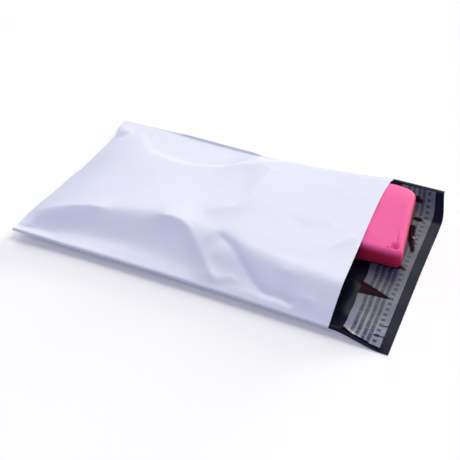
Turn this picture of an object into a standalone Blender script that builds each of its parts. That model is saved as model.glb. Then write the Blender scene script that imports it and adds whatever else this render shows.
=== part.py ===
"""A white poly mailer bag lying on its back panel, with a folded garment showing at its open mouth.

The film is one sheet. It is folded once at the bottom end, its two panels are melted together along
both sides, and the back panel runs on past the mouth as the sealing lip. The lip carries a line of
adhesive under a release liner. Run it with: blender --background --python part.py
"""

import math

import bmesh
import bpy
from mathutils import Vector

# Film, in metres. X runs from the bottom fold to the lip, Y from the near weld to the far weld.
BAG_WIDTH = 0.250
POCKET_LENGTH = 0.353
LIP_LENGTH = 0.060
FILM_THICKNESS = 0.0004
WELD_WIDTH = 0.003
NEAR_FLANGE_DROOP = 0.0034

# Garment that fills the bag and stands out of its mouth.
GARMENT_THICKNESS = 0.0245
GARMENT_START = 0.150
GARMENT_SHOULDER = 0.325
GARMENT_EDGE_ROUND = 0.010
GARMENT_NEAR_CORNER = 0.007
GARMENT_FAR_CORNER = 0.015
GARMENT_SLACK = 0.005
SLEEVE_NEAR_MARGIN = 0.112
SLEEVE_FAR_MARGIN = 0.015
SLEEVE_REACH_NEAR = 0.042
SLEEVE_REACH_FAR = 0.028

# Closure on the lip.
LINER_MARGIN = 0.0125
LINER_WIDTH = 0.038
LINER_THICKNESS = 0.0003
ADHESIVE_WIDTH = 0.020
ADHESIVE_THICKNESS = 0.0003
CLOSURE_END_MARGIN = 0.004
RIPPLE_HEIGHT = 0.0012
RIPPLE_PITCH = 0.046

# Clearances between pieces that touch in the real bag.
SEAT_GAP = 0.0003
GARMENT_GAP = 0.0006
FILM_SLACK = 0.0012
PANEL_CLEARANCE = 0.0020
OPENING_RUN = 0.006

# How far from an edge the back panel leaves the surface it lies on, and how it curls up: 2 is a
# rounded curl, 1 a straight one from a kink, which the lip's far side has.
SIDE_LIFT_RUN = 0.040
FOLD_LIFT_RUN = 0.026
ROUNDED_CURL = 2.0
KINKED_CURL = 1.15

# Guide curves of the filled bag: (share of the pocket's length from the fold, metres).
NEAR_WELD_HEIGHT = ((0.0, 0.0128), (0.08, 0.0124), (0.22, 0.0108), (0.7, 0.0108), (1.0, 0.0100))
FAR_WELD_HEIGHT = ((0.0, 0.0032), (0.2, 0.0042), (0.55, 0.0040), (0.8, 0.0090), (1.0, 0.0150))
FAR_FLANGE_TILT = ((0.0, -0.0006), (0.2, 0.0006), (0.27, 0.0019), (0.5, 0.0019), (0.56, 0.0))
NEAR_DRAW_IN = ((0.0, 0.0010), (0.25, 0.0040), (0.6, 0.0052), (1.0, 0.0038))
FAR_DRAW_IN = ((0.0, 0.0020), (0.2, 0.0030), (0.5, 0.0052), (0.8, 0.0045), (1.0, 0.0015))
NEAR_TROUGH = (
    (0.0, 0.008), (0.08, 0.008), (0.14, 0.014), (0.24, 0.016), (0.45, 0.016), (0.8, 0.016),
    (1.0, 0.016),
)
NEAR_TROUGH_HEIGHT = (
    (0.0, 0.0104), (0.07, 0.0096), (0.2, 0.0098), (0.45, 0.0112), (0.8, 0.0128), (1.0, 0.0145),
)
NEAR_SHOULDER = (
    (0.0, 0.036), (0.07, 0.044), (0.2, 0.061), (0.33, 0.069), (0.45, 0.0755), (0.6, 0.064),
    (0.85, 0.052), (1.0, 0.047),
)
FAR_TROUGH = (
    (0.0, 0.01), (0.1, 0.013), (0.14, 0.03), (0.2, 0.05), (0.33, 0.062), (0.45, 0.056),
    (0.52, 0.046), (0.6, 0.018), (1.0, 0.012),
)
FAR_TROUGH_HEIGHT = (
    (0.0, 0.0034), (0.1, 0.005), (0.2, 0.0088), (0.33, 0.0112), (0.45, 0.0116), (0.57, 0.0125),
    (1.0, 0.0195),
)
FAR_SHOULDER = (
    (0.0, 0.02), (0.1, 0.026), (0.14, 0.043), (0.2, 0.06), (0.33, 0.072), (0.45, 0.066),
    (0.52, 0.057), (0.6, 0.04), (1.0, 0.036),
)

# The same for heights that follow the filling: (share of the pocket's length, share of the filling).
NEAR_SHOULDER_RISE = (
    (0.0, 0.38), (0.05, 0.47), (0.1, 0.57), (0.2, 0.77), (0.33, 0.93), (0.45, 1.0), (1.0, 1.01),
)
FAR_SHOULDER_RISE = (
    (0.0, 0.12), (0.1, 0.24), (0.2, 0.43), (0.33, 0.56), (0.45, 0.6), (0.52, 0.7), (0.6, 0.96),
    (1.0, 0.98),
)
CROWN_RISE = ((0.0, 0.17), (0.1, 0.38), (0.2, 0.6), (0.33, 0.78), (0.45, 0.88), (0.6, 1.0), (1.0, 1.01))

# Bow of the bottom fold and of the two cut edges: (share of the width, metres along X).
FOLD_BOW = (
    (0.0, 0.0005), (0.17, -0.0010), (0.35, 0.0010), (0.50, 0.0022), (0.53, 0.0044), (0.7, 0.0060),
    (0.80, 0.0064), (0.875, 0.0080), (0.925, 0.0010), (1.0, -0.0005),
)
MOUTH_BOW = ((0.0, 0.0010), (0.3, -0.0010), (0.8, -0.0040), (1.0, -0.0030))
LIP_BOW = ((0.0, 0.0010), (0.5, 0.0020), (0.85, 0.0036), (1.0, -0.0040))

# Creases in the front panel. Each has its route from (share of the pocket's length, metres from the
# near edge) to the next, how far it stands up (a valley is below zero), and how far it reaches to
# its left and to its right, seen along its run.
CREASES = (
    (((0.39, 0.0790), (0.448, 0.0785), (0.482, 0.0745), (0.513, 0.066), (0.552, 0.050), (0.595, 0.035),
      (0.637, 0.020), (0.673, 0.007)), 0.0024, 0.016, 0.009),
    (((0.60, 0.070), (0.646, 0.062), (0.674, 0.054), (0.708, 0.043), (0.742, 0.033), (0.773, 0.024),
      (0.802, 0.0195), (0.85, 0.0195), (0.881, 0.015), (0.90, 0.007)), -0.0020, 0.006, 0.013),
    (((0.255, 0.064), (0.17, 0.060), (0.119, 0.0555), (0.0765, 0.049), (0.048, 0.040), (0.037, 0.0214),
      (0.037, 0.006)), 0.0022, 0.010, 0.010),
    (((0.504, 0.094), (0.555, 0.106), (0.603, 0.116), (0.620, 0.137), (0.618, 0.164), (0.620, 0.184),
      (0.629, 0.206)), 0.0010, 0.010, 0.016),
    (((0.91, 0.086), (0.94, 0.102), (0.965, 0.117), (0.99, 0.122)), 0.0010, 0.009, 0.006),
    (((0.028, 0.209), (0.047, 0.2125), (0.057, 0.222), (0.074, 0.236)), -0.0026, 0.0035, 0.006),
)
CREASE_FADE = 0.012
CREASE_SHARPNESS = 1.25
WELD_FADE = 0.012

# Mesh density.
COLUMNS = 28
POCKET_ROWS = 36
GARMENT_COLUMNS = 8
GARMENT_ROWS = 11
GARMENT_SIDE_ROWS = 3

WHITE_FILM = (0.80, 0.82, 0.92, 1.0)
GARMENT_PINK = (0.86, 0.13, 0.42, 1.0)
LINER_GREY = (0.20, 0.21, 0.30, 1.0)
ADHESIVE_AMBER = (0.62, 0.52, 0.30, 1.0)


def clamp(value, low=0.0, high=1.0):
    return max(low, min(high, value))


def ease(value):
    """Smooth step from 0 at 0 to 1 at 1."""
    t = clamp(value)
    return t * t * (3 - 2 * t)


def through(knots, x):
    """Smooth curve through the knots that never overshoots them, flat past both ends."""
    if x <= knots[0][0]:
        return knots[0][1]
    if x >= knots[-1][0]:
        return knots[-1][1]

    def slope(k):
        return (knots[k + 1][1] - knots[k][1]) / (knots[k + 1][0] - knots[k][0])

    def tangent(k):
        before = slope(max(k - 1, 0))
        after = slope(min(k, len(knots) - 2))
        return 2 * before * after / (before + after) if before * after > 0 else 0.0

    i = 0
    while knots[i + 1][0] <= x:
        i += 1
    width = knots[i + 1][0] - knots[i][0]
    t = (x - knots[i][0]) / width
    rise = 3 * t * t - 2 * t**3
    lean = t**3 - t * t
    start = knots[i][1] * (1 - rise) + tangent(i) * width * (lean - t * t + t)
    return start + knots[i + 1][1] * rise + tangent(i + 1) * width * lean


def filling_height():
    """Height of the film's middle where it lies on the garment."""
    return FILM_THICKNESS + GARMENT_THICKNESS + FILM_SLACK


def floor_height():
    """Height of the middle of the film where it lies on the surface under the bag."""
    return FILM_THICKNESS / 2


def lip_lines():
    """Distances from the mouth of the film's rows on the lip. The tapes start and end on them."""
    adhesive_start = LINER_MARGIN + (LINER_WIDTH - ADHESIVE_WIDTH) / 2
    adhesive = (adhesive_start, adhesive_start + ADHESIVE_WIDTH / 2, adhesive_start + ADHESIVE_WIDTH)
    return (0.0, LINER_MARGIN, *adhesive, LINER_MARGIN + LINER_WIDTH, LIP_LENGTH)


def lip_share(x):
    """0 up to the mouth, 1 at the end of the lip."""
    return clamp((x - POCKET_LENGTH) / LIP_LENGTH)


def near_weld_y(x):
    """Near inner weld line. Past the mouth the lip spreads back to its full width."""
    drawn = through(NEAR_DRAW_IN, x / POCKET_LENGTH) * (1 - ease(lip_share(x)))
    return drawn + WELD_WIDTH


def far_weld_y(x):
    return BAG_WIDTH - WELD_WIDTH - through(FAR_DRAW_IN, x / POCKET_LENGTH)


def near_edge_height(x):
    """The near side lies down again along the lip."""
    held = through(NEAR_WELD_HEIGHT, x / POCKET_LENGTH)
    return held * (1 - ease(lip_share(x))) + floor_height() * ease(lip_share(x))


def far_edge_height(x):
    """The far side stays curled up along the lip."""
    return through(FAR_WELD_HEIGHT, x / POCKET_LENGTH)


def crease_rise(x, y):
    """How far the creases raise the film at a place, less than nothing in a valley."""
    place = Vector((x, y))
    risen = 0.0
    for route, height, left_run, right_run in CREASES:
        points = [Vector((share * POCKET_LENGTH, across_bag)) for share, across_bag in route]
        gone = 0.0
        nearest = math.inf
        for a, b in zip(points, points[1:]):
            step = b - a
            along = clamp((place - a).dot(step) / step.length_squared)
            away = place - a.lerp(b, along)
            if away.length < nearest:
                nearest = away.length
                on_left = step.cross(place - a) > 0
                reached = gone + along * step.length
            gone += step.length
        run = left_run if on_left else right_run
        fade = ease(reached / (CREASE_FADE + left_run)) * ease((gone - reached) / CREASE_FADE)
        risen += height * fade * math.exp(-((nearest / run) ** CREASE_SHARPNESS))
    return risen


def laid_height(x, y):
    """The front panel without its creases: a hump over the garment that dips and rises to each weld."""
    share = x / POCKET_LENGTH
    near_y = near_weld_y(x)
    far_y = far_weld_y(x)
    filling = filling_height()
    return through((
        (near_y, near_edge_height(x)),
        (near_y + through(NEAR_TROUGH, share), through(NEAR_TROUGH_HEIGHT, share)),
        (near_y + through(NEAR_SHOULDER, share), through(NEAR_SHOULDER_RISE, share) * filling),
        ((near_y + far_y) / 2, through(CROWN_RISE, share) * filling),
        (far_y - through(FAR_SHOULDER, share), through(FAR_SHOULDER_RISE, share) * filling),
        (far_y - through(FAR_TROUGH, share), through(FAR_TROUGH_HEIGHT, share)),
        (far_y, far_edge_height(x)),
    ), y)


def slack_rise(x, y):
    """What the creases add to the front panel. It dies out at the welds."""
    from_weld = min(y - near_weld_y(x), far_weld_y(x) - y)
    return crease_rise(x, y) * ease(from_weld / WELD_FADE)


def fold_height(y):
    return laid_height(0, y) + max(slack_rise(0, y), 0.0)


def side_lift(x, y, far_curl=ROUNDED_CURL):
    """How far the back panel has left the surface beside the two welds."""
    near = lift(near_edge_height(x), y - near_weld_y(x), SIDE_LIFT_RUN)
    return near + lift(far_edge_height(x), far_weld_y(x) - y, SIDE_LIFT_RUN, far_curl)


def fold_lift(x, y):
    """How far the back panel has left the surface beside the bottom fold."""
    return lift(fold_height(y), x, FOLD_LIFT_RUN) if x < FOLD_LIFT_RUN else 0.0


def front_height(x, y):
    """Middle of the front panel, which never sinks into the back panel under it."""
    from_weld = min(y - near_weld_y(x), far_weld_y(x) - y)
    opened = clamp(x / OPENING_RUN) * clamp(from_weld / OPENING_RUN)
    under = floor_height() + max(side_lift(x, y), fold_lift(x, y))
    return max(laid_height(x, y) + slack_rise(x, y), under + PANEL_CLEARANCE * opened)


def lift(height, distance, run, curl=ROUNDED_CURL):
    """Height of a panel that leaves the surface at run and reaches its lifted edge at 0."""
    return (height - floor_height()) * clamp(1 - distance / run) ** curl


def lip_ripple(x, y):
    """Shallow waves across the lip, where the adhesive has puckered the film."""
    wave = 0.5 - 0.5 * math.cos(2 * math.pi * y / RIPPLE_PITCH)
    return RIPPLE_HEIGHT * wave * ease((x - POCKET_LENGTH) / LINER_MARGIN)


def back_height(x, y):
    """Middle of the back panel and the lip: flat on the surface, lifted along its edges."""
    far_curl = ROUNDED_CURL + (KINKED_CURL - ROUNDED_CURL) * ease(lip_share(x))
    return floor_height() + max(side_lift(x, y, far_curl), fold_lift(x, y)) + lip_ripple(x, y)


def across(column):
    """Share of the width between the inner weld lines, beyond 0 and 1 in the two weld strips."""
    return (column - 1) / COLUMNS


def film_point(column, row):
    """Place in the filled bag of one corner of the flat sheet's grid.

    Rows run from the front panel's cut edge to the bottom fold, and back along the back panel."""
    share = clamp(abs(POCKET_ROWS - row) / POCKET_ROWS)
    on_lip = lip_lines()[max(0, row - 2 * POCKET_ROWS)] / LIP_LENGTH
    side = clamp(across(column))
    fold_x = through(FOLD_BOW, side)
    mouth_x = POCKET_LENGTH + through(MOUTH_BOW, side)
    lip_x = POCKET_LENGTH + LIP_LENGTH + through(LIP_BOW, side)
    x = fold_x + (mouth_x - fold_x) * share
    x += (lip_x - mouth_x) * on_lip
    near_y = near_weld_y(x)
    far_y = far_weld_y(x)
    y = near_y + (far_y - near_y) * side
    out = abs(across(column) - side) * COLUMNS
    if side == 0.0:
        height = near_edge_height(x) - NEAR_FLANGE_DROOP * out * (1 - lip_share(x))
        return Vector((x, y - WELD_WIDTH * out, max(height, floor_height())))
    if side == 1.0:
        tilt = through(FAR_FLANGE_TILT, x / POCKET_LENGTH) * out
        return Vector((x, y + WELD_WIDTH * out, far_edge_height(x) + tilt))
    height = front_height(x, y) if row <= POCKET_ROWS else back_height(x, y)
    return Vector((x, y, height))


def material(name, colour, roughness):
    made = bpy.data.materials.new(name)
    made.use_nodes = True
    shader = made.node_tree.nodes["Principled BSDF"]
    shader.inputs["Base Color"].default_value = colour
    shader.inputs["Roughness"].default_value = roughness
    shader.inputs["Metallic"].default_value = 0.0
    return made


def add_object(name, bm, collection, colour, roughness):
    mesh = bpy.data.meshes.new(name)
    bm.to_mesh(mesh)
    bm.free()
    mesh.materials.append(material(name + "_material", colour, roughness))
    mesh.shade_smooth()
    mesh.set_sharp_from_angle(angle=math.radians(50))
    made = bpy.data.objects.new(name, mesh)
    collection.objects.link(made)
    return made


def grid_index(vert, columns, rows):
    """Column and row of a corner of the unit grid primitive."""
    return round((vert.co.x + 0.5) * columns), round((vert.co.y + 0.5) * rows)


def add_film(collection):
    """Folds the flat sheet, melts the panels together along both sides, and gives it its thickness."""
    columns = COLUMNS + 2
    rows = 2 * POCKET_ROWS + len(lip_lines()) - 1
    bm = bmesh.new()
    bmesh.ops.create_grid(bm, x_segments=columns, y_segments=rows, size=0.5)
    index = {vert: grid_index(vert, columns, rows) for vert in bm.verts}
    doubled = []
    for face in bm.faces:
        column = sum(index[v][0] for v in face.verts) / 4
        row = sum(index[v][1] for v in face.verts) / 4
        if not 1 < column < columns - 1 and row < POCKET_ROWS:
            doubled.append(face)
    for vert, (column, row) in index.items():
        vert.co = film_point(column, row)
    bmesh.ops.delete(bm, geom=doubled, context="FACES")
    bmesh.ops.remove_doubles(bm, verts=bm.verts, dist=0.00005)
    film = add_object("mailer_film", bm, collection, WHITE_FILM, 0.32)
    thicken = film.modifiers.new("film_gauge", "SOLIDIFY")
    thicken.solidify_mode = "NON_MANIFOLD"
    thicken.nonmanifold_thickness_mode = "FIXED"
    thicken.nonmanifold_boundary_mode = "NONE"
    thicken.nonmanifold_merge_threshold = 0.00001
    thicken.thickness = FILM_THICKNESS
    thicken.offset = 0.0
    return film


def tape_point(column, line):
    """Place on the film under a tape, whose first and last columns stop short of the welds."""
    short = CLOSURE_END_MARGIN * COLUMNS / BAG_WIDTH
    column = 1 + clamp(column, short, COLUMNS - short)
    before = math.floor(column)
    row = 2 * POCKET_ROWS + line
    return film_point(before, row).lerp(film_point(before + 1, row), column - before)


def add_tape(name, collection, first_line, last_line, height, thickness, colour, roughness):
    """A tape laid across the lip from edge to edge, following its curls and ripples."""
    rows = last_line - first_line
    bm = bmesh.new()
    bmesh.ops.create_grid(bm, x_segments=COLUMNS, y_segments=rows, size=0.5)
    for vert in bm.verts:
        column, row = grid_index(vert, COLUMNS, rows)
        vert.co = tape_point(column, first_line + row) + Vector((0, 0, height))
    strip = add_object(name, bm, collection, colour, roughness)
    thicken = strip.modifiers.new("tape_gauge", "SOLIDIFY")
    thicken.thickness = thickness
    thicken.offset = 0.0
    return strip


def adhesive_height():
    return FILM_THICKNESS / 2 + SEAT_GAP + ADHESIVE_THICKNESS / 2


def liner_height():
    return adhesive_height() + ADHESIVE_THICKNESS / 2 + SEAT_GAP + LINER_THICKNESS / 2


def garment_near_y(x):
    """Near side of the garment: under the shoulder of the hump, then stepped in where it sticks out."""
    inside = near_weld_y(x) + through(NEAR_SHOULDER, x / POCKET_LENGTH) + GARMENT_SLACK
    outside = SLEEVE_NEAR_MARGIN
    return inside + (outside - inside) * ease((x - GARMENT_SHOULDER) / (POCKET_LENGTH - GARMENT_SHOULDER))


def garment_far_y(x):
    """Far side of the garment: under the far shoulder at its start, close to the weld at the mouth."""
    inside = far_weld_y(x) - through(FAR_SHOULDER, x / POCKET_LENGTH) - GARMENT_SLACK
    outside = BAG_WIDTH - SLEEVE_FAR_MARGIN
    return inside + (outside - inside) * ease((x - GARMENT_START) / (POCKET_LENGTH - GARMENT_START))


def corner_cut(distance, radius):
    """How far a rounded corner falls short of a square one at a distance from its side."""
    into = clamp(1 - distance / radius)
    return radius * (1 - math.sqrt(1 - into * into))


def garment_point(along, side, level):
    """Place of one corner of the garment's cage. along, side and level run from 0 to 1."""
    width = garment_far_y(POCKET_LENGTH) - garment_near_y(POCKET_LENGTH)
    end = POCKET_LENGTH + SLEEVE_REACH_NEAR + (SLEEVE_REACH_FAR - SLEEVE_REACH_NEAR) * side
    end -= corner_cut(width * side, GARMENT_NEAR_CORNER)
    end -= corner_cut(width * (1 - side), GARMENT_FAR_CORNER)
    round_in = GARMENT_EDGE_ROUND * (1 - math.sqrt(1 - (2 * level - 1) ** 2))
    start = GARMENT_START + round_in
    x = start + (end - round_in - start) * along
    near_y = garment_near_y(x) + round_in
    far_y = garment_far_y(x) - round_in
    y = near_y + (far_y - near_y) * side
    closure = liner_height() + LINER_THICKNESS / 2 - FILM_THICKNESS / 2
    on_closure = closure * ease((x - POCKET_LENGTH + LINER_MARGIN / 2) / LINER_MARGIN)
    bottom = back_height(x, y) + FILM_THICKNESS / 2 + SEAT_GAP + GARMENT_GAP + on_closure
    under_film = front_height(min(x, POCKET_LENGTH), y) - FILM_THICKNESS / 2 - FILM_SLACK
    top = min(under_film, bottom + GARMENT_THICKNESS)
    return Vector((x, y, bottom + (top - bottom) * level))


def add_garment(collection):
    """A soft slab: a grid raised into a block, its sides cut into levels, then shaped and smoothed."""
    bm = bmesh.new()
    bmesh.ops.create_grid(bm, x_segments=GARMENT_COLUMNS, y_segments=GARMENT_ROWS, size=0.5)
    raised = bmesh.ops.extrude_face_region(bm, geom=bm.faces[:])
    top = [item for item in raised["geom"] if isinstance(item, bmesh.types.BMVert)]
    bmesh.ops.translate(bm, verts=top, vec=(0, 0, 1))
    posts = [edge for edge in bm.edges if abs(edge.verts[0].co.z - edge.verts[1].co.z) > 0.5]
    bmesh.ops.subdivide_edges(bm, edges=posts, cuts=GARMENT_SIDE_ROWS - 1)
    for vert in bm.verts:
        vert.co = garment_point(vert.co.y + 0.5, vert.co.x + 0.5, vert.co.z)
    bm.normal_update()
    bmesh.ops.recalc_face_normals(bm, faces=bm.faces)
    garment = add_object("folded_garment", bm, collection, GARMENT_PINK, 0.85)
    soften = garment.modifiers.new("soften", "SUBSURF")
    soften.levels = 1
    soften.render_levels = 1
    return garment


def rest_on_origin(objects):
    """Moves the bag so that the middle of its footprint, at the surface it lies on, is the origin."""
    bpy.context.view_layer.update()
    graph = bpy.context.evaluated_depsgraph_get()
    corners = []
    for item in objects:
        shown = item.evaluated_get(graph)
        corners += [shown.matrix_world @ vert.co for vert in shown.to_mesh().vertices]
        shown.to_mesh_clear()
    low = Vector(tuple(min(c[axis] for c in corners) for axis in range(3)))
    high = Vector(tuple(max(c[axis] for c in corners) for axis in range(3)))
    for item in objects:
        item.location -= Vector(((low.x + high.x) / 2, (low.y + high.y) / 2, low.z))


def main():
    for item in list(bpy.data.objects):
        bpy.data.objects.remove(item)
    collection = bpy.data.collections.new("poly_mailer_bag")
    bpy.context.scene.collection.children.link(collection)
    objects = [
        add_film(collection),
        add_tape("adhesive_strip", collection, 2, 4, adhesive_height(), ADHESIVE_THICKNESS,
                 ADHESIVE_AMBER, 0.25),
        add_tape("release_liner", collection, 1, 5, liner_height(), LINER_THICKNESS,
                 LINER_GREY, 0.18),
        add_garment(collection),
    ]
    rest_on_origin(objects)


main()
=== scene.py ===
"""A white poly mailer bag, open and lying on its back, with a folded garment in its mouth."""

import math

import bmesh
import bpy
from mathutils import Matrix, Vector, noise


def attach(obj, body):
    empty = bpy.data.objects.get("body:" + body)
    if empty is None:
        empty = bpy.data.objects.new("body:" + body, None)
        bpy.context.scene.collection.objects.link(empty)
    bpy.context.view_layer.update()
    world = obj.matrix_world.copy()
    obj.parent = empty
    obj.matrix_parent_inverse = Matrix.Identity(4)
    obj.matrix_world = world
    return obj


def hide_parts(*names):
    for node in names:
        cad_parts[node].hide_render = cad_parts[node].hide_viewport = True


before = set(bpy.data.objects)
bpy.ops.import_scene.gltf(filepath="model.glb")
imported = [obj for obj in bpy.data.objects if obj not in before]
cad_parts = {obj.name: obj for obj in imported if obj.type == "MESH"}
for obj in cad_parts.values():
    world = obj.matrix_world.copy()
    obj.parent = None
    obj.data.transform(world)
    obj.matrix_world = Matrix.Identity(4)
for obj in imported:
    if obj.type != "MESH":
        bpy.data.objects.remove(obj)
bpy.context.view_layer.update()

# The film
# The bag is one sheet of co-extruded polyethylene, white outside and black inside. It is folded once
# at the bottom, its two panels are heat-welded along both sides, and the back panel runs on past
# the mouth as the sealing lip.
BAG_WIDTH = 0.250
POCKET_LENGTH = 0.353
LIP_LENGTH = 0.060
FILM_THICKNESS = 0.0004
WELD_WIDTH = 0.003
NEAR_FLANGE = 0.0042
NEAR_FLANGE_DROOP = 0.0022
NEAR_FLANGE_ROLL = 0.45
FILLING_HEIGHT = 0.0261
SIDE_LIFT_RUN = 0.040
FOLD_LIFT_RUN = 0.026
ROUNDED_CURL = 2.0
KINKED_CURL = 1.15
LINER_MARGIN = 0.0125
RIPPLE_HEIGHT = 0.0012
RIPPLE_PITCH = 0.046
SLACK_WAVE_HEIGHT = 0.00050
SLACK_DENT_HEIGHT = 0.00012
GATHER_HEIGHT = 0.0009
GATHER_RUN = 0.011

# The bag is built from the corner where its fold meets its near weld. This is that corner's place.
FOLD_CORNER = Vector((-0.20776, -0.12424, 0.0))

# Guide curves. The first number of each pair is a share of the pocket's length from the fold, or in the
# three bows a share of the way from the near weld to the far one. The second is in metres, or in the
# rises a share of the filling's height.
NEAR_WELD_HEIGHT = ((0.0, 0.0128), (0.08, 0.0124), (0.22, 0.0108), (0.7, 0.0108), (1.0, 0.0100))
FAR_WELD_HEIGHT = ((0.0, 0.0032), (0.2, 0.0042), (0.55, 0.0040), (0.8, 0.0090), (1.0, 0.0150))
NEAR_DRAW_IN = ((0.0, 0.0010), (0.25, 0.0040), (0.6, 0.0052), (1.0, 0.0038))
FAR_DRAW_IN = ((0.0, 0.0020), (0.2, 0.0030), (0.5, 0.0052), (0.8, 0.0045), (1.0, 0.0015))
NEAR_TROUGH = ((0.0, 0.008), (0.08, 0.008), (0.14, 0.014), (0.24, 0.016), (1.0, 0.016))
NEAR_TROUGH_HEIGHT = (
    (0.0, 0.0104), (0.07, 0.0066), (0.2, 0.0098), (0.45, 0.0116), (0.65, 0.0138), (0.8, 0.0162),
    (1.0, 0.0178),
)
NEAR_SHOULDER = (
    (0.0, 0.034), (0.07, 0.042), (0.2, 0.059), (0.33, 0.069), (0.45, 0.0755), (0.6, 0.064),
    (0.85, 0.052), (1.0, 0.047),
)
FAR_TROUGH = (
    (0.0, 0.010), (0.1, 0.011), (0.14, 0.022), (0.2, 0.041), (0.33, 0.047), (0.45, 0.038),
    (0.52, 0.020), (0.6, 0.012), (1.0, 0.010),
)
FAR_TROUGH_HEIGHT = (
    (0.0, 0.0034), (0.1, 0.0040), (0.2, 0.0062), (0.33, 0.0076), (0.45, 0.0088), (0.52, 0.0104),
    (0.57, 0.0130), (0.64, 0.0155), (0.8, 0.0180), (1.0, 0.0205),
)
FAR_SHOULDER = (
    (0.0, 0.020), (0.1, 0.026), (0.14, 0.040), (0.2, 0.061), (0.33, 0.068), (0.45, 0.057),
    (0.52, 0.044), (0.6, 0.046), (1.0, 0.052),
)
NEAR_SHOULDER_RISE = (
    (0.0, 0.36), (0.05, 0.55), (0.1, 0.66), (0.2, 0.80), (0.33, 0.93), (0.45, 1.00), (1.0, 1.01),
)
FAR_SHOULDER_RISE = (
    (0.0, 0.12), (0.1, 0.26), (0.2, 0.47), (0.33, 0.60), (0.45, 0.66), (0.52, 0.76), (0.60, 0.94),
    (1.0, 0.98),
)
CROWN_RISE = (
    (0.0, 0.15), (0.1, 0.45), (0.2, 0.60), (0.33, 0.78), (0.45, 0.88), (0.6, 1.00), (1.0, 1.01),
)
FAR_FLANGE_TILT = (
    (0.0, -0.0006), (0.2, 0.0006), (0.27, 0.0019), (0.5, 0.0019), (0.56, 0.0), (1.0, 0.0),
)
FOLD_BOW = (
    (0.0, 0.0005), (0.17, -0.0010), (0.35, 0.0010), (0.50, 0.0022), (0.53, 0.0044), (0.7, 0.0060),
    (0.80, 0.0064), (0.875, 0.0080), (0.925, 0.0010), (1.0, -0.0005),
)
MOUTH_BOW = ((0.0, 0.0010), (0.3, -0.0010), (0.8, -0.0040), (1.0, -0.0030))
LIP_BOW = ((0.0, 0.0010), (0.5, 0.0020), (0.85, 0.0036), (1.0, -0.0040))

# Creases in the front panel: the points each runs through, in metres from the fold and from the
# near edge, how far it stands up (a valley is below zero), and how far it reaches to its left and
# to its right, seen along its run.
CREASES = (
    (((0.128, 0.0670), (0.146, 0.0715), (0.160, 0.0725), (0.171, 0.0695), (0.181, 0.0630), (0.195, 0.049),
      (0.210, 0.035), (0.225, 0.020), (0.2375, 0.007)), 0.0034, 0.011, 0.008),
    (((0.205, 0.072), (0.228, 0.062), (0.238, 0.054), (0.250, 0.043), (0.262, 0.033), (0.273, 0.024),
      (0.283, 0.0195), (0.300, 0.0195), (0.311, 0.015), (0.318, 0.007)), -0.0032, 0.005, 0.013),
    (((0.090, 0.064), (0.060, 0.0600), (0.0420, 0.0555), (0.0270, 0.0490), (0.0170, 0.0400),
      (0.0130, 0.0214), (0.0130, 0.0060)), 0.0022, 0.010, 0.010),
    (((0.178, 0.094), (0.196, 0.106), (0.213, 0.116), (0.219, 0.137), (0.218, 0.164), (0.219, 0.184),
      (0.222, 0.206)), 0.0023, 0.010, 0.013),
    (((0.232, 0.0240), (0.244, 0.0245), (0.258, 0.0205)), 0.0008, 0.005, 0.004),
    (((0.280, 0.0420), (0.294, 0.0460), (0.310, 0.0440)), 0.0012, 0.007, 0.006),
    (((0.308, 0.0230), (0.322, 0.0240), (0.338, 0.0200)), 0.0016, 0.006, 0.005),
    (((0.322, 0.086), (0.331, 0.102), (0.340, 0.117), (0.350, 0.122)), 0.0010, 0.009, 0.006),
    (((0.002, 0.203), (0.009, 0.207), (0.015, 0.218), (0.021, 0.234)), 0.0036, 0.012, 0.0034),
    (((0.262, 0.130), (0.292, 0.112), (0.318, 0.128)), -0.0006, 0.012, 0.012),
    (((0.285, 0.215), (0.300, 0.190), (0.322, 0.176)), 0.0006, 0.010, 0.010),
)
CREASE_FADE = 0.012
CREASE_SHARPNESS = 1.25
CREASE_REACH = 2.6
WELD_CLEARANCE = 0.012
PANEL_CLEARANCE = 0.0010
OPENING_RUN = 0.006

# Puckers in the lip, where its liner has come away from the adhesive: the two ends of each, in
# metres from the fold and from the near edge, its half width at those ends, and its height.
LIP_PUCKERS = (
    ((0.3520, 0.0780), (0.3950, 0.0718), 0.0170, 0.0014, 0.0007),
    ((0.3540, 0.0150), (0.3740, 0.0050), 0.0080, 0.0035, 0.0006),
    ((0.3880, 0.1220), (0.3990, 0.1195), 0.0060, 0.0012, 0.0006),
    ((0.3890, 0.1900), (0.3925, 0.1695), 0.0042, 0.0046, 0.0009),
    ((0.3925, 0.1695), (0.3985, 0.1510), 0.0046, 0.0026, 0.0009),
    ((0.3895, 0.2045), (0.3935, 0.2040), 0.0044, 0.0038, 0.0009),
    ((0.3820, 0.2310), (0.3880, 0.2290), 0.0048, 0.0030, 0.0009),
    ((0.3990, 0.0325), (0.4055, 0.0345), 0.0009, 0.0009, 0.0005),
    ((0.3945, 0.0183), (0.4050, 0.0192), 0.0009, 0.0009, 0.0005),
)
PUCKER_EDGE = 0.30

ACROSS_CELLS = 110
POCKET_CELLS = 165
LIP_CELLS = 30
WELD_CELLS = 4
MELT_DISTANCE = 0.00005
SHARP_EDGE = math.radians(42)


def clamp(value):
    """The value held between 0 and 1."""
    return max(0.0, min(1.0, value))


def ease(value):
    """A smooth step from 0 to 1."""
    t = clamp(value)
    return t * t * (3 - 2 * t)


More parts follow.
